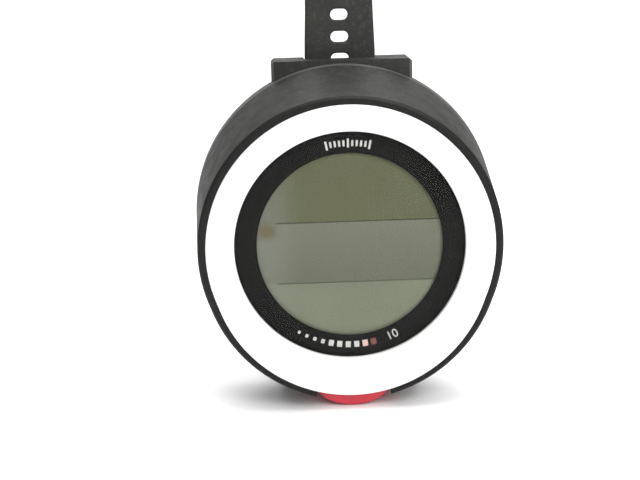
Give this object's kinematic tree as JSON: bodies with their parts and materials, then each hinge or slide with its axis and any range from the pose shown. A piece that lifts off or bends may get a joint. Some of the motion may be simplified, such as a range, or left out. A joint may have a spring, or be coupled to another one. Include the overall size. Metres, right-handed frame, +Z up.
{
  "type": "wrist dive computer",
  "caption": "Round wrist dive computer with a dished white bezel ring, flat glass, one push button at 6 o'clock, battery cap in the back and an open rubber strap with a buckle.",
  "frame": {"origin": "middle of the whole part's footprint on the ground it stands on", "axes": "+Z up through 12 o'clock, -Y out of the face towards the viewer, +X to the right of someone reading the face"},
  "size_m": [0.0847, 0.0886, 0.1602],
  "materials": {
    "white_ring": "smooth satin",
    "black_case": "fine texture",
    "clear_glass": "polished",
    "mask_black": "printed film",
    "display": "grey-green display cell",
    "white_plastic": "moulded",
    "grey_rubber": "conductive rubber",
    "black_rubber": "smooth",
    "board_green": "solder mask",
    "chip_black": "moulded",
    "steel": "stainless",
    "bright_steel": "bright",
    "brass": "plated",
    "red_button": "soft-touch",
    "strap_rubber": "matt moulded",
    "buckle_plastic": "satin moulded"
  },
  "bodies": {
    "case": {"bezel_ring": "white_ring", "case_body": "black_case", "lens": "clear_glass", "dial_mask": "mask_black", "lens_seal": "black_rubber", "lcd_foam": "black_rubber", "lcd_panel": "display", "backlight": "white_plastic", "display_connectors": "grey_rubber", "display_carrier": "white_plastic", "circuit_board": "board_green", "board_chips": "chip_black", "board_screws": "steel", "button_switch": "chip_black", "button_spring": "steel", "case_back": "black_case", "case_seal": "black_rubber", "case_screws": "steel", "battery": "bright_steel", "battery_contact_minus": "brass", "battery_contact_plus": "brass", "pressure_sensor": "bright_steel", "sensor_seal": "black_rubber", "buzzer": "brass", "buzzer_contacts": "brass", "wet_contacts": "steel", "strap_pin_top": "steel", "strap_pin_bottom": "steel"},
    "button": {"button_cap": "red_button", "button_stem": "steel", "button_o_ring": "black_rubber", "button_clip": "steel"},
    "cap": {"battery_cap": "black_case", "battery_cap_seal": "black_rubber"},
    "long_strap": {"strap_long": "strap_rubber"},
    "short_strap": {"strap_short": "strap_rubber"},
    "keeper_loop": {"keeper": "strap_rubber"},
    "buckle": {"buckle_frame": "buckle_plastic", "buckle_pin": "steel"},
    "tongue": {"buckle_tongue": "buckle_plastic"}
  },
  "joints": [
    {"name": "button_press", "type": "slide", "parent": "case", "child": "button", "axis": [0, 0, 1], "range_m": [0, 0.0012], "stiffness_N_per_m": 1500, "springref_m": -0.0025, "deforming": ["button_spring"]},
    {"name": "battery_cap_turn", "type": "hinge", "parent": "case", "child": "cap", "pos_m": [0, -0.01865, 0.0503], "axis": [0, 1, 0], "range_deg": [0, 90]},
    {"name": "long_strap_swing", "type": "hinge", "parent": "case", "child": "long_strap", "pos_m": [0, -0.00925, 0.08475], "axis": [-1, 0, 0], "range_deg": [-5, 90]},
    {"name": "short_strap_swing", "type": "hinge", "parent": "case", "child": "short_strap", "pos_m": [0, -0.00925, 0.0038], "axis": [-1, 0, 0], "range_deg": [-60, 80]},
    {"name": "keeper_slide", "type": "slide", "parent": "short_strap", "child": "keeper_loop", "axis": [0, -1, 0], "range_m": [-0.0042, 0.0035]},
    {"name": "buckle_swing", "type": "hinge", "parent": "short_strap", "child": "buckle", "pos_m": [0, 0.02975, 0.00862], "axis": [-1, 0, 0], "range_deg": [-48, 45]},
    {"name": "tongue_swing", "type": "hinge", "parent": "buckle", "child": "tongue", "pos_m": [0, 0.02975, 0.00862], "axis": [-1, 0, 0], "range_deg": [-40, 0]}
  ]
}
